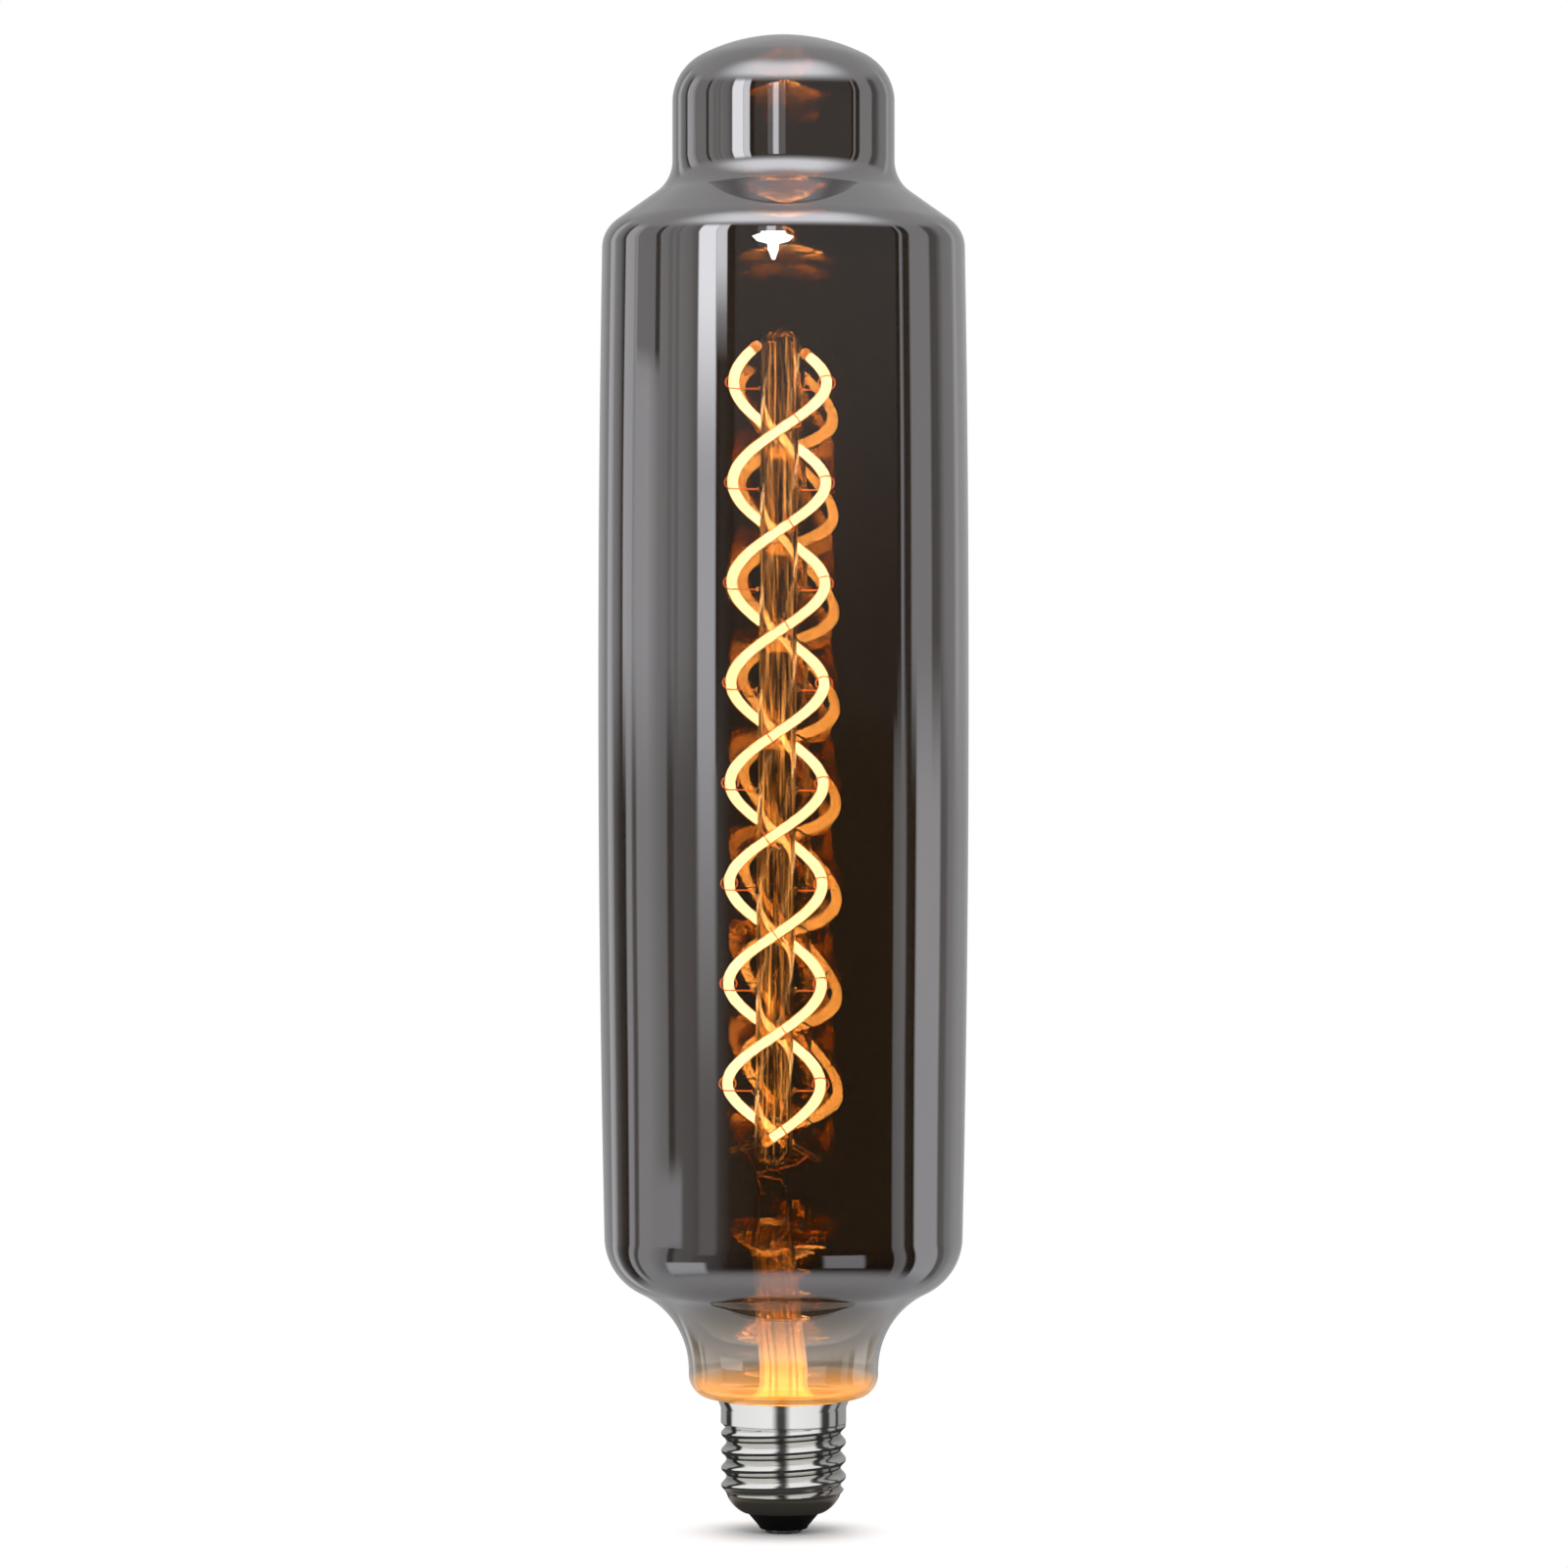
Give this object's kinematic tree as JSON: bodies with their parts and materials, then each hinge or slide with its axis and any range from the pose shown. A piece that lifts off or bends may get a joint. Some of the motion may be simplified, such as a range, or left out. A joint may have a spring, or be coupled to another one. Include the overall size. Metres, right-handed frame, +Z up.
{
  "type": "tubular light bulb",
  "caption": "Long tubular smoked-glass filament lamp with a stepped domed top and an Edison screw cap, holding two intertwined helical light strands on a glass pillar.",
  "frame": {"origin": "middle of the centre contact's bottom face", "axes": "+Z up the bulb's axis from the cap to the domed top; +X to the right and -Y towards the viewer, seen from the front"},
  "size_m": [0.078, 0.078, 0.315],
  "materials": {
    "coated_glass": "smoked, mirror-coated blown glass",
    "clear_glass": "clear drawn glass",
    "strand_silicone": "phosphor-filled silicone, lit warm",
    "hook_wire": "drawn molybdenum",
    "lead_wire": "nickel and copper-clad lead wire",
    "tab_metal": "nickel-plated strip",
    "cap_metal": "bright nickel plate on rolled brass",
    "contact_metal": "tinned brass",
    "insulator_glass": "black cap glass",
    "cement": "baked basing cement",
    "board": "solder-masked glass-fibre board",
    "component_black": "moulded epoxy",
    "component_sleeve": "sleeved aluminium can",
    "component_ceramic": "lacquered resistor body",
    "insulated_wire": "insulated hook-up wire"
  },
  "bodies": {
    "root": {"basing_cement": "cement", "bridge_rectifier": "component_black", "bridge_sleeve": "tab_metal", "cap_insulator": "insulator_glass", "cap_shell": "cap_metal", "centre_contact": "contact_metal", "centre_pillar": "clear_glass", "contact_wire": "insulated_wire", "driver_board": "board", "driver_chip": "component_black", "end_tab_a_high": "tab_metal", "end_tab_a_low": "tab_metal", "end_tab_b_high": "tab_metal", "end_tab_b_low": "tab_metal", "exhaust_tube": "clear_glass", "filament_a": "strand_silicone", "filament_b": "strand_silicone", "fuse_resistor": "component_ceramic", "glass_envelope": "coated_glass", "lead_wire_a": "lead_wire", "lead_wire_b": "lead_wire", "shell_wire": "insulated_wire", "smoothing_capacitor": "component_sleeve", "stem_flare": "clear_glass", "support_hook_a_1": "hook_wire", "support_hook_a_10": "hook_wire", "support_hook_a_11": "hook_wire", "support_hook_a_12": "hook_wire", "support_hook_a_13": "hook_wire", "support_hook_a_14": "hook_wire", "support_hook_a_15": "hook_wire", "support_hook_a_16": "hook_wire", "support_hook_a_2": "hook_wire", "support_hook_a_3": "hook_wire", "support_hook_a_4": "hook_wire", "support_hook_a_5": "hook_wire", "support_hook_a_6": "hook_wire", "support_hook_a_7": "hook_wire", "support_hook_a_8": "hook_wire", "support_hook_a_9": "hook_wire", "support_hook_b_1": "hook_wire", "support_hook_b_10": "hook_wire", "support_hook_b_11": "hook_wire", "support_hook_b_12": "hook_wire", "support_hook_b_13": "hook_wire", "support_hook_b_14": "hook_wire", "support_hook_b_15": "hook_wire", "support_hook_b_16": "hook_wire", "support_hook_b_2": "hook_wire", "support_hook_b_3": "hook_wire", "support_hook_b_4": "hook_wire", "support_hook_b_5": "hook_wire", "support_hook_b_6": "hook_wire", "support_hook_b_7": "hook_wire", "support_hook_b_8": "hook_wire", "support_hook_b_9": "hook_wire", "top_bridge_wire": "lead_wire"}
  },
  "joints": []
}
